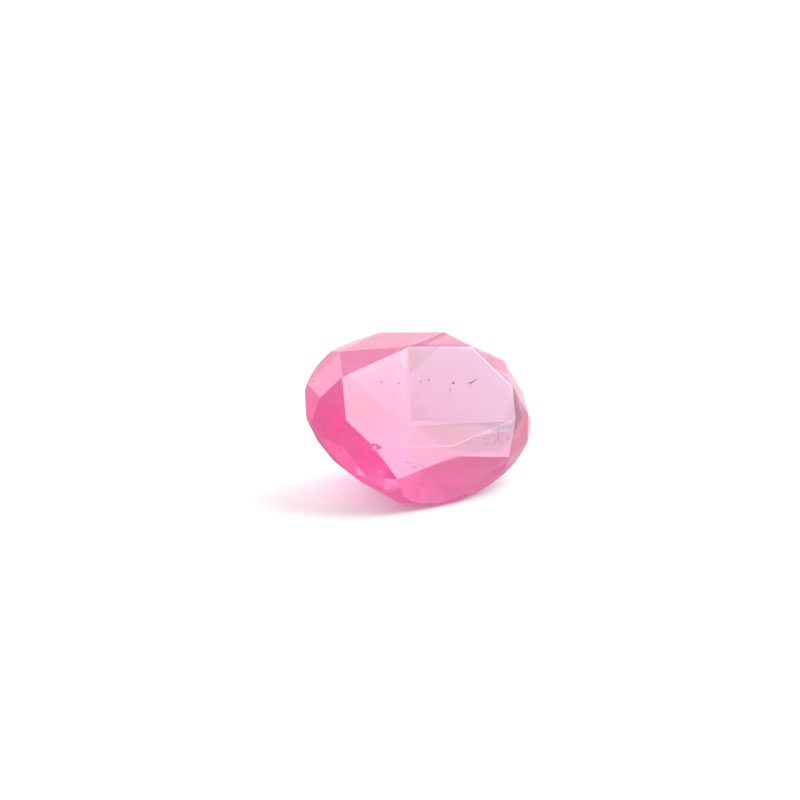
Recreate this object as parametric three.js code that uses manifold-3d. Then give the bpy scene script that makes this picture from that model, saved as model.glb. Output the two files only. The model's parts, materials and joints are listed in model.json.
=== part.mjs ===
// A loose oval ruby, cut by hand as a brilliant, lying on one long side of its pavilion as a stone
// lies when it is tipped out on a table. Millimetres, +Z up, the origin under the middle of its box.
//
// The stone is cut in its own frame first: x along its length, y across it, z along the table's
// normal, with z = 0 at the middle of the girdle. Each facet is one flat cut, as on a lap.
import * as THREE from "three";
import { mergeVertices } from "three/addons/utils/BufferGeometryUtils.js";
import Module from "manifold-3d";

// The stone's driving sizes.
const LENGTH = 7.0;
const WIDTH = 5.68;
const CROWN_HEIGHT = 0.78;
const GIRDLE_TOP = 0.08;
const GIRDLE_BOTTOM = -0.11;
const REST_ANGLE = 41; // degrees from the girdle plane to the pavilion side that the stone lies on

// The girdle's outline: an oval whose radius is let out or taken in by hand at each sixteenth of a
// turn, counted from +x towards +y.
const OUTLINE_SWELL = [
  0.975, 0.99, 0.975, 0.96, 0.96, 0.995, 1.018, 1.022,
  0.982, 0.975, 0.985, 1.03, 0.985, 0.97, 0.985, 0.995,
];
const OUTLINE_STEPS = 96;

// The crown's kites, from the one at +y round through +x. Each has its corner of the table, and the
// turn of its foot on the girdle. The fifth was ground short: its point stops under the table's edge.
const KITES = [
  { corner: [0.19, 1.72, 0.78], foot: 90 },
  { corner: [2.09, 1.31, 0.78], foot: 38 },
  { corner: [2.73, -0.16, 0.78], foot: -3 },
  { corner: [2.33, -1.2, 0.78], foot: -37 },
  { corner: [-0.01, -1.63, 0.78], point: [-0.03, -1.89, 0.688], foot: -92 },
  { corner: [-2.41, -1.14, 0.78], foot: -142 },
  { corner: [-2.85, -0.13, 0.78], foot: -177 },
  { corner: [-2.32, 1.21, 0.78], foot: 147 },
];
// The stars, each after the kite of the same place: its outer tip, and the turn on the girdle where
// the two halves below it meet.
const STARS = [
  { tip: [1.66, 2.08, 0.5], middle: 60 },
  { tip: [3.05, 0.8, 0.51], middle: 19 },
  { tip: [2.975, -1.0, 0.495], middle: -21 },
  { tip: [1.735, -2.185, 0.485], middle: -61 },
  { tip: [-1.965, -2.13, 0.455], middle: -120 },
  { tip: [-3.13, -0.84, 0.47], middle: -162 },
  { tip: [-3.12, 0.86, 0.485], middle: 172.5 },
  { tip: [-1.81, 2.16, 0.48], middle: 121 },
];

// The pavilion's mains: the turn of each one's foot on the girdle, its own turn about z, its angle
// from the girdle plane, and the turn of the middle after it, where its halves meet the next one's.
// The girdle is thicker where its lower edge drops: at a foot, and at a middle.
const MAINS = [
  { foot: 100, turn: 99, lean: 44, drop: 0, middle: 77, middleDrop: 0 },
  { foot: 50, turn: 54, lean: 42, drop: 0, middle: 28, middleDrop: 0 },
  { foot: 3, turn: 2, lean: 37, drop: 0.03, middle: -24, middleDrop: 0 },
  { foot: -50, turn: -55, lean: 40, drop: 0, middle: -68, middleDrop: 0.1 },
  { foot: -92, turn: -90, lean: REST_ANGLE, drop: 0.2, middle: -120, middleDrop: 0.14 },
  { foot: -142, turn: -142, lean: 38, drop: 0, middle: -162, middleDrop: 0 },
  { foot: 183, turn: 180, lean: 36, drop: 0, middle: 167, middleDrop: 0 },
  { foot: 147, turn: 142, lean: 39, drop: 0, middle: 127, middleDrop: 0 },
];
const HALF_STEEPER = 8; // degrees that a lower half is steeper than the main beside it

// Small chips knocked out of the table's edge: a point on the edge and the chip's radius.
const CHIPS = [
  { at: [-2.36, -1.17, 0.82], radius: 0.16 },
  { at: [-2.22, -1.24, 0.83], radius: 0.12 },
  { at: [-2.45, -1.02, 0.83], radius: 0.09 },
];

const wasm = await Module();
wasm.setup();

// A closed three.js geometry as a solid that can be cut.
function solidOf(geometry) {
  const bare = geometry.clone();
  bare.deleteAttribute("normal");
  bare.deleteAttribute("uv");
  const merged = mergeVertices(bare, 1e-4);
  return new wasm.Manifold(new wasm.Mesh({
    numProp: 3,
    vertProperties: new Float32Array(merged.attributes.position.array),
    triVerts: new Uint32Array(merged.index.array),
  }));
}

// A cut solid as a three.js geometry with flat facets.
function geometryOf(solid) {
  const mesh = solid.getMesh();
  const geometry = new THREE.BufferGeometry();
  geometry.setAttribute("position", new THREE.BufferAttribute(mesh.vertProperties, 3));
  geometry.setIndex(new THREE.BufferAttribute(mesh.triVerts, 1));
  const flat = geometry.toNonIndexed();
  flat.computeVertexNormals();
  return flat;
}

// The girdle's edge in the direction of a turn of the oval, in degrees.
const swellCurve = new THREE.CatmullRomCurve3(
  OUTLINE_SWELL.map((swell) => new THREE.Vector3(swell, 0, 0)),
  true,
);
function girdlePoint(turn, z = 0) {
  const share = (((turn / 360) % 1) + 1) % 1;
  const swell = swellCurve.getPoint(share).x;
  const angle = THREE.MathUtils.degToRad(turn);
  return new THREE.Vector3(
    (LENGTH / 2) * swell * Math.cos(angle),
    (WIDTH / 2) * swell * Math.sin(angle),
    z,
  );
}

// Grinds away all that lies beyond a plane.
const CUTTER = 30;
function grind(solid, plane) {
  const box = new THREE.BoxGeometry(CUTTER, CUTTER, CUTTER);
  box.translate(0, 0, CUTTER / 2);
  const turn = new THREE.Quaternion().setFromUnitVectors(new THREE.Vector3(0, 0, 1), plane.normal);
  box.applyQuaternion(turn);
  const foot = plane.coplanarPoint(new THREE.Vector3());
  box.translate(foot.x, foot.y, foot.z);
  return solid.subtract(solidOf(box));
}

// The plane through three points, facing away from the middle of the stone.
function planeThrough(a, b, c) {
  const plane = new THREE.Plane().setFromCoplanarPoints(a, b, c);
  return plane.constant > 0 ? plane.negate() : plane;
}

// The point of a plane straight above or below a point.
function dropOnto(plane, point) {
  const { normal, constant } = plane;
  const z = -(normal.x * point.x + normal.y * point.y + constant) / normal.z;
  return new THREE.Vector3(point.x, point.y, z);
}

// The rough: the oval outline at its full height.
function rough() {
  const points = [];
  for (let i = 0; i < OUTLINE_STEPS; i++) {
    const p = girdlePoint((360 * i) / OUTLINE_STEPS);
    points.push(new THREE.Vector2(p.x, p.y));
  }
  const depth = WIDTH;
  const blank = new THREE.ExtrudeGeometry(new THREE.Shape(points), { depth, bevelEnabled: false });
  blank.translate(0, 0, CROWN_HEIGHT - depth);
  return solidOf(blank);
}

// The crown: each kite with the two halves at its foot, then the stars round the table.
function cutCrown(stone) {
  const corners = KITES.map(({ corner }) => new THREE.Vector3(...corner));
  const points = KITES.map(({ corner, point }) => new THREE.Vector3(...(point ?? corner)));
  const tips = STARS.map(({ tip }) => new THREE.Vector3(...tip));
  const count = KITES.length;
  for (let i = 0; i < count; i++) {
    const last = (i + count - 1) % count;
    const kite = planeThrough(tips[last], tips[i], points[i]);
    stone = grind(stone, kite);
    const foot = dropOnto(kite, girdlePoint(KITES[i].foot));
    for (const side of [last, i]) {
      const middle = girdlePoint(STARS[side].middle, GIRDLE_TOP);
      stone = grind(stone, planeThrough(tips[side], middle, foot));
    }
  }
  for (let i = 0; i < count; i++) {
    stone = grind(stone, planeThrough(corners[i], corners[(i + 1) % count], tips[i]));
  }
  return stone;
}

// The plane of a pavilion facet that leans out from the girdle plane, by its turn about z.
function pavilionMain(turn, lean, foot) {
  const around = THREE.MathUtils.degToRad(turn);
  const angle = THREE.MathUtils.degToRad(lean);
  const normal = new THREE.Vector3(
    Math.cos(around) * Math.sin(angle),
    Math.sin(around) * Math.sin(angle),
    -Math.cos(angle),
  );
  return new THREE.Plane().setFromNormalAndCoplanarPoint(normal, foot);
}

// The plane of a lower half, which holds a line from a main's foot to a middle of the girdle.
function pavilionHalf(foot, middle, lean) {
  const angle = THREE.MathUtils.degToRad(lean);
  const edge = middle.clone().sub(foot).normalize();
  const out = new THREE.Vector3(edge.y, -edge.x, 0).normalize();
  if (out.dot(foot) < 0) out.negate();
  const down = new THREE.Vector3().crossVectors(edge, out);
  if (down.z > 0) down.negate();
  const normal = out.multiplyScalar(Math.sin(angle)).addScaledVector(down, Math.cos(angle));
  return new THREE.Plane().setFromNormalAndCoplanarPoint(normal, foot);
}

// The pavilion: the mains, and two lower halves beside each.
function cutPavilion(stone) {
  const count = MAINS.length;
  for (let i = 0; i < count; i++) {
    const last = MAINS[(i + count - 1) % count];
    const main = MAINS[i];
    const foot = girdlePoint(main.foot, GIRDLE_BOTTOM - main.drop);
    stone = grind(stone, pavilionMain(main.turn, main.lean, foot));
    for (const side of [last, main]) {
      const middle = girdlePoint(side.middle, GIRDLE_BOTTOM - side.middleDrop);
      stone = grind(stone, pavilionHalf(foot, middle, main.lean + HALF_STEEPER));
    }
  }
  return stone;
}

// Knocks the chips out.
function chip(stone) {
  for (const { at, radius } of CHIPS) {
    const flake = new THREE.IcosahedronGeometry(radius, 1);
    flake.rotateZ(at[0] * 7);
    flake.scale(1, 1, 0.6);
    flake.translate(...at);
    stone = stone.subtract(solidOf(flake));
  }
  return stone;
}

const material = new THREE.MeshStandardMaterial({ color: 0xff8fc0, roughness: 0.05, metalness: 0 });
const stone = new THREE.Mesh(geometryOf(chip(cutPavilion(cutCrown(rough())))), material);
stone.name = "oval_ruby";

// The stone lies down on its -y side, and the origin goes under the middle of its box.
stone.rotation.x = THREE.MathUtils.degToRad(REST_ANGLE);
const box = new THREE.Box3().setFromObject(stone, true);
const middle = box.getCenter(new THREE.Vector3());
stone.position.set(-middle.x, -middle.y, -box.min.z);

const ruby = new THREE.Group();
ruby.add(stone);

export default ruby;
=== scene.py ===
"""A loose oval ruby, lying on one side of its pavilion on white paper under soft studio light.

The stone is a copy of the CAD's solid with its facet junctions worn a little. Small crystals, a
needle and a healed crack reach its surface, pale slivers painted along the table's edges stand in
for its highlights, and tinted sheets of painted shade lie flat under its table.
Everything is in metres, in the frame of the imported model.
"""

import json
import logging
import math
import random
from dataclasses import dataclass, field
from enum import Enum
from typing import Any

import bmesh
import bpy
from bpy.types import Material, MeshPolygon, Node, NodeSocket, NodeTree, Object
from mathutils import Matrix, Vector
from mathutils.bvhtree import BVHTree

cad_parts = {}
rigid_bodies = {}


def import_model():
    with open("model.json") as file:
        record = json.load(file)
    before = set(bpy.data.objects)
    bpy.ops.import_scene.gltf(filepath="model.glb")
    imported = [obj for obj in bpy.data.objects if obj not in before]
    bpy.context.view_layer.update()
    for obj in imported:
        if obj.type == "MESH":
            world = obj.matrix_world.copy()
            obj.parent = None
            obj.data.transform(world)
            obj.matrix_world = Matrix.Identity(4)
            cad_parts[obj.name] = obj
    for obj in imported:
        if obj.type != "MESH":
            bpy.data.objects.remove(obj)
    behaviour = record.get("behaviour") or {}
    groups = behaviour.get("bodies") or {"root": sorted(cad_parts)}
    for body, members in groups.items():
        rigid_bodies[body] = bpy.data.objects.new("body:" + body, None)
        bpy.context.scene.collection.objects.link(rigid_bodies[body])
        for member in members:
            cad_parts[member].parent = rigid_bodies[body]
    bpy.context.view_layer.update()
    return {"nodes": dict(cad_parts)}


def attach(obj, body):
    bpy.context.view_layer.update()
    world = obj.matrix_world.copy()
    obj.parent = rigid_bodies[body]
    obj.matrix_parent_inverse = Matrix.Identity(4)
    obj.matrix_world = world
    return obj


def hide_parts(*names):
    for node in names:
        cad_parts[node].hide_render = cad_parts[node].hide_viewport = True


LOG = logging.getLogger("ruby")

MM = 0.001
NODE = "oval_ruby"
BODY = "root"
SEED = 7


def linear(hex_colour: str, alpha: float = 1.0) -> tuple[float, float, float, float]:
    """Turns an sRGB colour into the linear one that a shader reads.

    Args:
        hex_colour: The colour as "#RRGGBB".
        alpha: The fourth number of the result.

    Returns:
        Linear red, green and blue, with alpha.
    """
    parts = [int(hex_colour[i : i + 2], 16) / 255 for i in (1, 3, 5)]
    red, green, blue = (
        p / 12.92 if p <= 0.04045 else ((p + 0.055) / 1.055) ** 2.4 for p in parts
    )
    return red, green, blue, alpha


def add_node(
    tree: NodeTree,
    kind: str,
    inputs: dict[str | int, Any] | None = None,
    **settings: Any,
) -> Node:
    """Adds a node with its settings, and fills its inputs with links or plain values.

    Args:
        tree: The node tree that gets the node.
        kind: The node's type name.
        inputs: For each input, by name or number, a socket to link or a value to set.
        **settings: The node's own properties.

    Returns:
        The new node.
    """
    node = tree.nodes.new(kind)
    for name, value in settings.items():
        setattr(node, name, value)
    for key, value in (inputs or {}).items():
        if isinstance(value, NodeSocket):
            tree.links.new(value, node.inputs[key])
        else:
            node.inputs[key].default_value = value
    return node


def add_noise(tree: NodeTree, size: float, detail: float) -> NodeSocket:
    """Adds a noise that is fixed to the piece.

    Args:
        tree: The node tree that gets the nodes.
        size: How far apart its patches are, in mm.
        detail: How many finer noises are added to it.

    Returns:
        The noise, from 0 to 1.
    """
    place = add_node(tree, "ShaderNodeTexCoord").outputs["Object"]
    return add_node(
        tree, "ShaderNodeTexNoise", {"Vector": place, "Scale": 1 / (size * MM), "Detail": detail}
    ).outputs["Fac"]


def add_bump(tree: NodeTree, height: NodeSocket, strength: float, depth: float) -> NodeSocket:
    """Adds a bump.

    Args:
        tree: The node tree that gets the node.
        height: The height, from 0 to 1.
        strength: How much of it shows.
        depth: How deep it is, in mm.

    Returns:
        The bumped normal.
    """
    return add_node(
        tree, "ShaderNodeBump", {"Height": height, "Strength": strength, "Distance": depth * MM}
    ).outputs["Normal"]


def mix_colours(tree: NodeTree, share: NodeSocket, first: Any, second: Any) -> NodeSocket:
    """Adds a mix of two colours.

    Args:
        tree: The node tree that gets the node.
        share: How much of the second colour there is.
        first: The first colour, as a socket or as linear numbers.
        second: The second colour, in the same way.

    Returns:
        The mixed colour.
    """
    return add_node(
        tree, "ShaderNodeMix", {0: share, 6: first, 7: second}, data_type="RGBA"
    ).outputs[2]


def start_material(name: str) -> tuple[Material, NodeTree, Node, Node]:
    """Makes an empty node material.

    Args:
        name: The material's name.

    Returns:
        The material, its tree, its Principled shader and its output.
    """
    material = bpy.data.materials.new(name)
    material.use_nodes = True
    tree = material.node_tree
    return material, tree, tree.nodes["Principled BSDF"], tree.nodes["Material Output"]


def deselect_all() -> None:
    """Leaves nothing selected."""
    for thing in bpy.context.view_layer.objects:
        thing.select_set(False)


def pick(piece: Object) -> None:
    """Makes one object the only one that is selected, and active."""
    deselect_all()
    piece.select_set(True)
    bpy.context.view_layer.objects.active = piece


@dataclass(frozen=True)
class Lie:
    """How the stone lies: its own frame has x along it, y across it and z out of its table."""

    lean: float = math.radians(41)
    middle: tuple[float, float, float] = (0.0216, -0.0227, 2.0745)  # of the girdle, in mm
    table_height: float = 0.78  # mm above the girdle's middle

    def matrix(self) -> Matrix:
        """The turn and shift from the stone's own frame, in mm, to the model's, in metres."""
        turn = Matrix.Rotation(self.lean, 4, "X")
        return Matrix.Translation(Vector(self.middle) * MM) @ turn @ Matrix.Scale(MM, 4)

    def point(self, x: float, y: float, z: float) -> Vector:
        """A point of the stone's own frame, in the model's frame."""
        return self.matrix() @ Vector((x, y, z))

    def table_normal(self) -> Vector:
        """The direction that the table faces."""
        return (self.matrix().to_3x3() @ Vector((0, 0, 1))).normalized()

    def height(self, place: Vector) -> float:
        """How far a point of the model's frame lies above the girdle's middle, in mm."""
        return (place / MM - Vector(self.middle)).dot(self.table_normal())


LIE = Lie()


class Grind(Enum):
    """How a facet was finished, as the roughness that it has."""

    POLISHED = 0.1
    WORN = 0.12
    SCUFFED = 0.2
    LAPPED = 0.5
    BRUTED = 0.7


@dataclass(frozen=True)
class RubyFinish:
    """Ruby, which is corundum reddened by chromium, cut on a lap by hand.

    The crown is polished, and mirrors the room. The pavilion was left from a finer lap without its
    last polish, so it scatters, and the stone glows pink instead of flashing.
    """

    ior: float = 1.77
    absorbed_red: float = 0.012  # each per mm of path
    absorbed_green: float = 0.385
    absorbed_blue: float = 0.16
    lap_grit: float = 0.09  # mm, drawn coarser than a real lap's marks so that they show
    mark_depth: float = 0.01  # mm
    wave: float = 0.9  # mm between the hand's slow unevennesses
    unevenness: float = 0.12  # how much the roughness varies, either way
    girdle: str = "#F0DCE6"  # a little dulled by the dust that a rough girdle holds

    def absorption(self) -> tuple[tuple[float, float, float, float], float]:
        """The volume's colour and density, which together absorb as given per channel."""
        most = max(self.absorbed_red, self.absorbed_green, self.absorbed_blue)
        colour = (
            1 - self.absorbed_red / most,
            1 - self.absorbed_green / most,
            1 - self.absorbed_blue / most,
            1.0,
        )
        return colour, most / MM

    def material(self, name: str, clear: float, grit: float) -> Material:
        """Makes the material, whose roughness follows the mesh's own attribute.

        Args:
            name: The material's name.
            clear: How much of its surface is clear, and not clouded by fine scratches.
            grit: How strongly the lap's marks show.

        Returns:
            The material.
        """
        material, tree, shader, output = start_material(name)
        ground = add_node(tree, "ShaderNodeAttribute", attribute_name="ground").outputs["Fac"]
        varied = add_node(
            tree,
            "ShaderNodeMapRange",
            {
                "Value": add_noise(tree, self.wave, 3.0),
                "From Min": 0.3,
                "From Max": 0.7,
                "To Min": 1 - self.unevenness,
                "To Max": 1 + self.unevenness,
            },
        ).outputs["Result"]
        rough = add_node(
            tree, "ShaderNodeMath", {0: ground, 1: varied}, operation="MULTIPLY"
        ).outputs[0]
        marks = add_noise(tree, self.lap_grit, 4.0)
        bump = add_bump(tree, marks, grit, self.mark_depth)
        dusty_from = (Grind.LAPPED.value + Grind.BRUTED.value) / 2
        bruted = add_node(
            tree, "ShaderNodeMath", {0: ground, 1: dusty_from}, operation="GREATER_THAN"
        ).outputs[0]
        skin = mix_colours(tree, bruted, linear("#FFFFFF"), linear(self.girdle))
        colour, density = self.absorption()
        volume = add_node(tree, "ShaderNodeVolumeAbsorption", {"Color": colour, "Density": density})
        shader.inputs["Transmission Weight"].default_value = clear
        shader.inputs["IOR"].default_value = self.ior
        tree.links.new(skin, shader.inputs["Base Color"])
        tree.links.new(rough, shader.inputs["Roughness"])
        tree.links.new(bump, shader.inputs["Normal"])
        tree.links.new(volume.outputs[0], output.inputs["Volume"])
        return material


@dataclass(frozen=True)
class GrainFinish:
    """A small crystal of another mineral, grown over by the ruby: dull, dark and nearly opaque."""

    name: str
    colour: str
    paler: str
    roughness: float
    grain: float = 0.03  # mm

    def material(self) -> Material:
        """Makes the mottled material."""
        material, tree, shader, _ = start_material(self.name)
        mottle = add_noise(tree, self.grain, 3.0)
        tint = add_node(tree, "ShaderNodeValToRGB", {"Fac": mottle})
        tint.color_ramp.elements[0].color = linear(self.colour)
        tint.color_ramp.elements[1].color = linear(self.paler)
        tree.links.new(tint.outputs["Color"], shader.inputs["Base Color"])
        shader.inputs["Roughness"].default_value = self.roughness
        return material


@dataclass(frozen=True)
class ShadeSheetFinish:
    """A sheet of painted shade under the table: a clear tint that lets a little less of the light
    through.
    """

    colour: str
    paler: str
    cloud: float = 0.5  # mm

    def material(self) -> Material:
        """Makes the clear tint, which doesn't bend light, because it has its host's own index."""
        # Painted shade: the tint dims and colours the light that the table shows through it.
        material, tree, shader, _ = start_material("painted_shade_sheet")
        cloud = add_noise(tree, self.cloud, 2.0)
        tint = add_node(tree, "ShaderNodeValToRGB", {"Fac": cloud})
        tint.color_ramp.elements[0].position = 0.3
        tint.color_ramp.elements[0].color = linear(self.colour)
        tint.color_ramp.elements[1].position = 0.7
        tint.color_ramp.elements[1].color = linear(self.paler)
        inside = add_node(tree, "ShaderNodeAttribute", attribute_name="inside").outputs["Fac"]
        faded = mix_colours(tree, inside, linear("#FFFFFF"), tint.outputs["Color"])
        tree.links.new(faded, shader.inputs["Base Color"])
        shader.inputs["Transmission Weight"].default_value = 1.0
        shader.inputs["Roughness"].default_value = 0.0
        shader.inputs["IOR"].default_value = 1.0
        return material


@dataclass(frozen=True)
class PaperFinish:
    """White matt paper: bright, with the faint unevenness of its fibres."""

    colour: str = "#F6F5F4"
    fibre: float = 0.25  # mm
    fibre_height: float = 0.02  # mm
    roughness: float = 0.65

    def material(self) -> Material:
        """Makes the paper's material."""
        material, tree, shader, _ = start_material("white_paper")
        fibres = add_noise(tree, self.fibre, 4.0)
        bump = add_bump(tree, fibres, 0.1, self.fibre_height)
        shader.inputs["Base Color"].default_value = linear(self.colour)
        shader.inputs["Roughness"].default_value = self.roughness
        shader.inputs["Specular IOR Level"].default_value = 0.2
        tree.links.new(bump, shader.inputs["Normal"])
        return material


@dataclass
class Stone:
    """The cut stone itself, in place of the CAD's node."""

    source: Object
    worn_edge: float = 0.014  # mm across a facet junction that handling has dulled
    strip_width: float = 1.6  # of the worn edge: a face wider than this is a facet
    flat_within: float = math.radians(0.4)
    sharp_from: float = math.radians(3)  # between two facets that wear at their junction
    least_edge: float = 0.25  # mm: shorter edges belong to chips and the girdle
    crown_from: float = 0.1  # mm above the girdle's middle
    girdle_tilt: float = 0.25  # a girdle facet's normal is this near to level
    scuffed_from: float = -1.7  # mm across: the low facets in front of this have lost their polish
    scuffed_tilt: float = 0.93  # and lean at least this far from the table, as a cosine
    scuffed_clear: float = 0.84  # of their surface is still clear
    piece: Object = field(init=False)

    def build(self) -> Object:
        """Copies the solid, merges it, wears its crown's edges and marks how it is ground."""
        mesh = self.source.data.copy()
        self.piece = bpy.data.objects.new("ruby_stone", mesh)
        bpy.context.scene.collection.objects.link(self.piece)
        pick(self.piece)
        bpy.ops.object.mode_set(mode="EDIT")
        bpy.ops.mesh.select_all(action="SELECT")
        bpy.ops.mesh.remove_doubles(threshold=1e-4 * MM)
        bpy.ops.mesh.dissolve_limited(angle_limit=self.flat_within)
        self._select_crown_edges()
        bpy.ops.mesh.bevel(
            offset=self.worn_edge * MM / 2, segments=1, affect="EDGES", clamp_overlap=True
        )
        bpy.ops.object.mode_set(mode="OBJECT")
        self._mark_finish()
        return self.piece

    def _select_crown_edges(self) -> None:
        """Selects the sharp edges between the crown's facets."""
        mesh = bmesh.from_edit_mesh(self.piece.data)
        for face in mesh.faces:
            face.select_set(False)
        for edge in mesh.edges:
            above = all(LIE.height(v.co) > self.crown_from for v in edge.verts)
            long = edge.calc_length() > self.least_edge * MM
            sharp = len(edge.link_faces) == 2 and edge.calc_face_angle() > self.sharp_from
            edge.select_set(above and long and sharp)
        bmesh.update_edit_mesh(self.piece.data)

    def _mark_finish(self) -> None:
        """Writes each facet's roughness into the mesh."""
        mesh = self.piece.data
        mark = mesh.attributes.new("ground", "FLOAT", "FACE")
        normal = LIE.table_normal()
        for polygon in mesh.polygons:
            tilt = polygon.normal.dot(normal)
            plan = LIE.matrix().inverted() @ polygon.center
            if abs(tilt) < self.girdle_tilt:
                finish = Grind.BRUTED
            elif tilt > 0 and self._is_strip(polygon):
                finish = Grind.WORN
            elif tilt > 0 and plan.y < self.scuffed_from and tilt < self.scuffed_tilt:
                finish = Grind.SCUFFED
            elif tilt > 0:
                finish = Grind.POLISHED
            else:
                finish = Grind.LAPPED
            mark.data[polygon.index].value = finish.value
            polygon.material_index = int(finish is Grind.SCUFFED)
            polygon.use_smooth = False

    def _is_strip(self, polygon: MeshPolygon) -> bool:
        """Whether a face is one of the narrow ones that the bevel left along a junction."""
        vertices = self.piece.data.vertices
        corners = [vertices[i].co for i in polygon.vertices]
        spans = [(a - b).length for a, b in zip(corners, corners[1:] + corners[:1])]
        return polygon.area / max(spans) < self.strip_width * self.worn_edge * MM

    def dress(self) -> None:
        """Gives the stone its materials."""
        ruby = RubyFinish()
        self.piece.data.materials.clear()
        self.piece.data.materials.append(ruby.material("ruby_crystal", 1.0, 0.04))
        self.piece.data.materials.append(ruby.material("scuffed_ruby", self.scuffed_clear, 0.5))


@dataclass(frozen=True)
class Speck:
    """A small crystal in the stone: where it lies on the stone's plan, how deep and how big."""

    x: float
    y: float
    depth: float
    size: float


@dataclass(frozen=True)
class Sliver:
    """A thin straight mark in the stone, from one point of its plan to another, in mm."""

    x: float
    y: float
    to_x: float
    to_y: float
    depth: float
    width: float


@dataclass(frozen=True)
class Zone:
    """A flat sheet of painted shade under the table: its outline on the stone's plan and its tint.
    """

    name: str
    outline: tuple[tuple[float, float], ...]
    colour: str
    paler: str
    depth: float = 0.3  # mm under the table
    thickness: float = 0.012  # mm
    fading: float = 0.15  # mm in from its edge over which the tint comes up

    def build(self) -> Object:
        """Makes the zone from a flat polygon that is inset and given its thickness.

        Returns:
            The finished piece.
        """
        deselect_all()
        bpy.ops.mesh.primitive_circle_add(
            vertices=len(self.outline), radius=MM, fill_type="NGON"
        )
        piece = bpy.context.object
        piece.name = self.name
        level = LIE.table_height - self.depth
        for vertex, (x, y) in zip(piece.data.vertices, self.outline):
            vertex.co = LIE.point(x, y, level)
        bpy.ops.object.mode_set(mode="EDIT")
        bpy.ops.mesh.select_all(action="SELECT")
        bpy.ops.mesh.inset(thickness=self.fading * MM)
        bpy.ops.object.mode_set(mode="OBJECT")
        inside = piece.data.attributes.new("inside", "FLOAT", "POINT")
        for vertex in piece.data.vertices:
            inside.data[vertex.index].value = float(vertex.index >= len(self.outline))
        thick = piece.modifiers.new("thickness", "SOLIDIFY")
        thick.thickness = self.thickness * MM
        thick.offset = 0
        bpy.ops.object.modifier_apply(modifier=thick.name)
        bpy.ops.object.mode_set(mode="EDIT")
        bpy.ops.mesh.select_all(action="SELECT")
        bpy.ops.mesh.normals_make_consistent(inside=False)
        bpy.ops.object.mode_set(mode="OBJECT")
        piece.data.materials.append(ShadeSheetFinish(self.colour, self.paler).material())
        return piece


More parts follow.
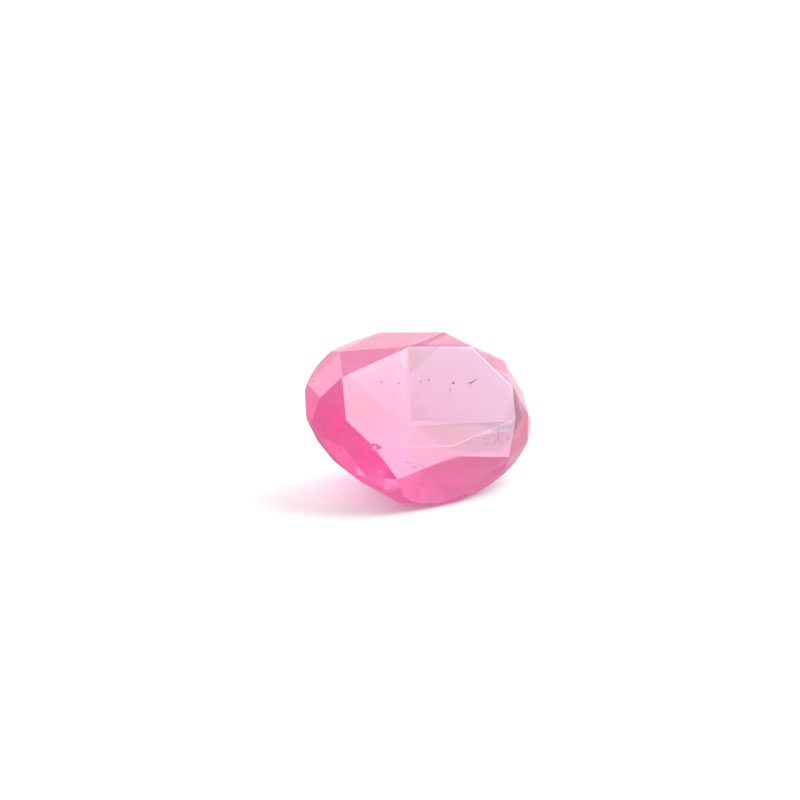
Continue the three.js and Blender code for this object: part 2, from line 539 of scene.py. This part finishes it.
@dataclass
class Inclusions:
    """What breaks the ruby's clarity.

    Sheets of painted shade lie flat under its table. A row of crystals, a needle and a healed crack
    reach the surface, where the polish has cut them, and pale slivers along the table's edges are
    painted highlights.
    """

    stone: Object
    row: tuple[Speck, ...] = (
        Speck(0.965, 0.307, 0.0, 0.12),
        Speck(1.477, 0.192, 0.0, 0.08),
        Speck(-1.205, 0.794, 0.0, 0.08),
        Speck(-0.708, 0.649, 0.0, 0.08),
        Speck(0.257, 0.568, 0.0, 0.08),
        Speck(-0.015, 0.561, 0.0, 0.07),
        Speck(0.769, 0.114, 0.0, 0.07),
        Speck(1.417, 0.070, 0.0, 0.06),
        Speck(-3.18, -0.79, 0.0, 0.07),
        Speck(-2.85, 1.60, 0.0, 0.08),
    )
    needle: Sliver = Sliver(1.44, 0.182, 1.758, 0.269, 0.0, 0.05)
    crack: tuple[Sliver, ...] = (
        Sliver(1.38, -1.50, 1.68, -1.80, 0.005, 0.034),
        Sliver(1.63, -1.43, 1.55, -1.88, 0.005, 0.036),
        Sliver(1.44, -1.71, 1.90, -1.58, 0.005, 0.030),
        Sliver(1.34, -1.80, 1.50, -1.68, 0.005, 0.032),
        Sliver(1.72, -1.54, 1.82, -1.44, 0.005, 0.030),
        Sliver(1.02, -1.56, 1.22, -1.62, 0.005, 0.030),
        Sliver(1.10, -1.70, 1.24, -1.76, 0.005, 0.030),
        Sliver(1.90, -1.42, 2.10, -1.38, 0.005, 0.032),
        Sliver(1.84, -1.74, 1.98, -1.62, 0.005, 0.034),
        Sliver(-1.55, -1.72, -1.42, -1.80, 0.005, 0.045),
        Sliver(-1.38, -1.90, -1.28, -1.94, 0.005, 0.040),
        Sliver(-1.13, -1.93, -1.08, -1.97, 0.005, 0.045),
    )
    # Pale slivers along the table's front edges: painted highlights in place of the glints off its
    # junctions, and two short pale flecks.
    highlight_lines: tuple[Sliver, ...] = (
        Sliver(-2.38, -1.73, -2.32, -1.78, 0.005, 0.045),
        Sliver(-0.34, 0.50, -0.31, 0.40, 0.0, 0.03),
        Sliver(-0.01, -1.63, -2.20, -1.205, 0.0, 0.024),
        Sliver(0.03, -1.622, 2.31, -1.205, 0.0, 0.024),
        Sliver(0.05, -1.905, 1.70, -2.175, 0.0, 0.02),
    )
    # Tinted sheets of painted shade under the table: the lilac ones dim its right half, which looks
    # through to the stone's shadow on the paper, and the warm one tones down its left.
    shade_sheets: tuple[Zone, ...] = (
        Zone(
            "upper_painted_shade",
            (
                (0.15, 1.88),
                (-0.34, 0.80),
                (-0.98, -0.60),
                (1.30, -1.15),
                (1.56, -1.46),
                (2.30, -1.40),
                (2.72, -1.10),
                (2.86, -0.09),
                (2.22, 1.41),
            ),
            "#AC98B6",
            "#B8A6C0",
        ),
        Zone(
            "lower_painted_shade",
            (
                (-0.92, -0.50),
                (-0.62, -1.12),
                (-0.35, -1.45),
                (0.20, -1.85),
                (1.65, -2.08),
                (2.08, -1.68),
                (2.50, -1.20),
            ),
            "#C6C2D6",
            "#D0CEE0",
        ),
        Zone(
            "warm_painted_shade",
            (
                (-0.30, 1.55),
                (-1.00, -0.35),
                (-2.55, -0.75),
                (-2.75, -0.05),
                (-2.20, 1.20),
            ),
            "#FFE2E8",
            "#FFEAF0",
        ),
    )
    above: float = 3.0  # mm: higher than all of the stone over its girdle's middle
    dice: random.Random = field(default_factory=lambda: random.Random(SEED))
    _tree: BVHTree = field(init=False)

    def __post_init__(self) -> None:
        """Makes the tree that finds the crown's surface above a point."""
        depsgraph = bpy.context.evaluated_depsgraph_get()
        self._tree = BVHTree.FromObject(self.stone, depsgraph)

    def under(self, x: float, y: float, depth: float) -> Vector:
        """A point on the crown or in the stone, by its plan and its depth.

        Args:
            x: Along the stone, in mm.
            y: Across the stone, in mm.
            depth: Below the surface, along the table's normal, in mm.

        Returns:
            The point in the model's frame.
        """
        start = LIE.point(x, y, self.above)
        hit, _, _, _ = self._tree.ray_cast(start, -LIE.table_normal())
        return hit - LIE.table_normal() * depth * MM

    def build(self) -> list[Object]:
        """Makes the painted shade sheets, the crystals, the needle, the crack and the painted
        junction highlights.

        Returns:
            The finished pieces.
        """
        dark = GrainFinish("dark_grain", "#7C4C74", "#A87C9C", 0.6)
        crack = GrainFinish("crack_face", "#9C6088", "#BC88A8", 0.5)
        # Pale, nearly white finish: painted highlight for the slivers along the table's edges.
        pale = GrainFinish("painted_highlight_ruby", "#F2B4D0", "#FFDCEA", 0.6)
        return [
            *(zone.build() for zone in self.shade_sheets),
            self._join("crystal_grains", [self._grain(speck) for speck in self.row], dark),
            self._join("rutile_needle", [self._sliver(self.needle)], dark),
            self._join("healed_crack", [self._sliver(sliver) for sliver in self.crack], crack),
            self._join("painted_junction_highlights", [self._sliver(sliver) for sliver in self.highlight_lines], pale),
        ]

    def _grain(self, speck: Speck) -> Object:
        """Makes one blocky crystal that the table's polish has cut flat, turned at random."""
        spin = Matrix.Rotation(self.dice.uniform(0, math.tau), 4, "Z")
        deselect_all()
        bpy.ops.mesh.primitive_ico_sphere_add(
            subdivisions=1,
            radius=speck.size * MM / 2,
            location=self.under(speck.x, speck.y, speck.depth),
            rotation=(LIE.matrix().to_quaternion().to_matrix().to_4x4() @ spin).to_euler(),
        )
        grain = bpy.context.object
        grain.scale = (1, self.dice.uniform(0.7, 1), 0.3)
        return grain

    def _sliver(self, sliver: Sliver) -> Object:
        """Makes one thin six-sided sliver that narrows towards its far end."""
        start = self.under(sliver.x, sliver.y, sliver.depth)
        axis = self.under(sliver.to_x, sliver.to_y, sliver.depth) - start
        deselect_all()
        bpy.ops.mesh.primitive_cone_add(
            vertices=6,
            radius1=sliver.width * MM / 2,
            radius2=sliver.width * MM / 5,
            depth=axis.length,
            location=start + axis / 2,
            rotation=axis.to_track_quat("Z", "Y").to_euler(),
        )
        return bpy.context.object

    def _join(self, name: str, parts: list[Object], finish: GrainFinish) -> Object:
        """Joins parts into one piece, with its place in its mesh.

        Args:
            name: The piece's name.
            parts: Its parts.
            finish: Its finish.

        Returns:
            The piece.
        """
        deselect_all()
        for part in parts:
            part.select_set(True)
        bpy.context.view_layer.objects.active = parts[0]
        if len(parts) > 1:
            bpy.ops.object.join()
        piece = bpy.context.object
        bpy.ops.object.transform_apply(location=True, rotation=True, scale=True)
        piece.name = name
        piece.data.materials.append(finish.material())
        return piece


class Shows(Enum):
    """Where a lamp's light arrives."""

    EVERYWHERE = "everywhere"
    MIRRORED = "only in the facets that mirror it"
    THROUGH = "only through the stone"
    PAPER = "only on matt things"


@dataclass(frozen=True)
class Lamp:
    """A square lamp that faces the stone: where it stands as seen from the stone, and its light."""

    name: str
    direction: tuple[float, float, float]
    side: float  # m
    radiance: float
    shows: Shows = Shows.EVERYWHERE
    colour: str = "#FFFFFF"

    def build(self, distance: float) -> None:
        """Adds the lamp.

        Args:
            distance: From the stone's middle to the lamp, in metres.
        """
        data = bpy.data.lights.new(self.name, "AREA")
        data.shape = "SQUARE"
        data.size = self.side
        data.energy = self.radiance * math.pi * self.side**2
        data.color = linear(self.colour)[:3]
        lamp = bpy.data.objects.new(self.name, data)
        bpy.context.scene.collection.objects.link(lamp)
        away = Vector(self.direction).normalized()
        lamp.location = LIE.point(0, 0, 0) + away * distance
        lamp.rotation_mode = "QUATERNION"
        lamp.rotation_quaternion = away.to_track_quat("Z", "Y")
        lamp.visible_diffuse = self.shows in (Shows.EVERYWHERE, Shows.PAPER)
        lamp.visible_glossy = self.shows in (Shows.EVERYWHERE, Shows.MIRRORED)
        lamp.visible_transmission = self.shows in (Shows.EVERYWHERE, Shows.THROUGH)
        lamp.visible_camera = False


@dataclass
class Studio:
    """The paper, the room, the lamps and the camera."""

    pixel: float = 7.0 / 248.2  # mm of the stone that one pixel of the picture covers
    azimuth: float = math.radians(-33)
    elevation: float = math.radians(19)
    lens: float = 500.0
    sensor: float = 36.0
    frame_pixels: int = 800
    aside: float = 19.2  # pixels from the picture's middle to the stone's, to the right
    below: float = 12.8  # and down
    paper_side: float = 0.6  # m
    paper_gap: float = 0.02  # mm under the stone, where air lies between the facet and the fibres
    lamps: tuple[Lamp, ...] = (
        Lamp("key_softbox", (0.68, -0.1, 0.72), 0.34, 2.6),
        Lamp("table_card", (0.516, -0.215, 0.829), 0.12, 1.7, Shows.MIRRORED, "#FFE6D2"),
        Lamp("front_card", (0.51, -0.69, 0.52), 0.22, 4.3, Shows.MIRRORED),
        Lamp("edge_card", (0.53, -0.465, 0.705), 0.11, 6.0, Shows.MIRRORED),
        Lamp("rear_card", (-0.2, 0.75, 0.63), 0.25, 1.7, Shows.MIRRORED),
        Lamp("top_card", (0.52, 0.75, 0.4), 0.12, 0.7, Shows.MIRRORED),
        Lamp("glow_card", (0.45, -0.8, 0.36), 0.4, 2.6, Shows.THROUGH, "#FFE0E8"),
        Lamp("side_lamp", (0.85, -0.3, 0.4), 0.3, 2.6, Shows.PAPER),
        Lamp("fill_lamp", (-0.55, -0.75, 0.45), 0.3, 0.9, Shows.PAPER, "#FFC8DC"),
    )
    lamp_distance: float = 0.4  # m
    room: float = 0.64
    window: float = 1.4
    window_from: tuple[float, float, float] = (0.45, 0.8, 0.4)
    window_reach: tuple[float, float] = (0.2, 0.6)  # cosines where its light starts and is full
    backdrop: float = 1.1

    def build(self) -> None:
        """Sets up the paper, the room, the lamps and the camera."""
        self._paper()
        self._room()
        for lamp in self.lamps:
            lamp.build(self.lamp_distance)
        self._camera()
        scene = bpy.context.scene
        scene.view_settings.view_transform = "Standard"
        scene.cycles.max_bounces = 32
        scene.cycles.transmission_bounces = 32
        scene.cycles.glossy_bounces = 12
        scene.cycles.sample_clamp_indirect = 8
        scene.cycles.use_denoising = True

    def _paper(self) -> None:
        """Lays the sheet of paper under the stone."""
        deselect_all()
        bpy.ops.mesh.primitive_plane_add(size=self.paper_side, location=(0, 0, -self.paper_gap * MM))
        paper = bpy.context.object
        paper.name = "paper"
        paper.data.materials.append(PaperFinish().material())

    def _room(self) -> None:
        """Makes a white room, brighter towards a window behind the stone and where it is seen."""
        world = bpy.data.worlds.new("white_room")
        bpy.context.scene.world = world
        world.use_nodes = True
        tree = world.node_tree
        direction = add_node(tree, "ShaderNodeTexCoord").outputs["Generated"]
        towards = add_node(
            tree,
            "ShaderNodeVectorMath",
            {0: direction, 1: Vector(self.window_from).normalized()},
            operation="DOT_PRODUCT",
        ).outputs["Value"]
        low, high = self.window_reach
        walls = add_node(
            tree,
            "ShaderNodeMapRange",
            {
                "Value": towards,
                "From Min": low,
                "From Max": high,
                "To Min": self.room,
                "To Max": self.window,
            },
            interpolation_type="SMOOTHSTEP",
        ).outputs["Result"]
        seen = add_node(tree, "ShaderNodeLightPath").outputs["Is Camera Ray"]
        strength = add_node(
            tree, "ShaderNodeMix", {0: seen, 2: walls, 3: self.backdrop}, data_type="FLOAT"
        ).outputs[0]
        background = tree.nodes["Background"]
        background.inputs["Color"].default_value = (1, 1, 1, 1)
        tree.links.new(strength, background.inputs["Strength"])

    def _camera(self) -> None:
        """Adds the long-lens camera, which looks down on the stone from its left front."""
        sin_a, cos_a = math.sin(self.azimuth), math.cos(self.azimuth)
        sin_e, cos_e = math.sin(self.elevation), math.cos(self.elevation)
        back = Vector((sin_a * cos_e, -cos_a * cos_e, sin_e))
        right = Vector((cos_a, sin_a, 0))
        up = back.cross(right)
        pixel = self.pixel * MM
        aim = LIE.point(0, 0, 0) - right * self.aside * pixel + up * self.below * pixel
        distance = self.frame_pixels * pixel * self.lens / self.sensor
        data = bpy.data.cameras.new("camera")
        data.lens = self.lens
        data.sensor_width = self.sensor
        data.clip_start = 0.001
        camera = bpy.data.objects.new("camera", data)
        bpy.context.scene.collection.objects.link(camera)
        turn = Matrix((right, up, back)).transposed().to_4x4()
        camera.matrix_world = Matrix.Translation(aim + back * distance) @ turn
        bpy.context.scene.camera = camera


def main() -> None:
    """Builds the stone, what is in it, and the studio round it."""
    logging.basicConfig(level=logging.INFO, format="%(name)s: %(message)s")
    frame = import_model()
    Studio().build()
    stone = Stone(frame["nodes"][NODE])
    piece = stone.build()
    stone.dress()
    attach(piece, BODY)
    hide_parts(NODE)
    LOG.info("%s: %d faces", piece.name, len(piece.data.polygons))
    for grain in Inclusions(piece).build():
        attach(grain, BODY)
        LOG.info("%s: %d faces", grain.name, len(grain.data.polygons))


if __name__ == "__main__":
    main()
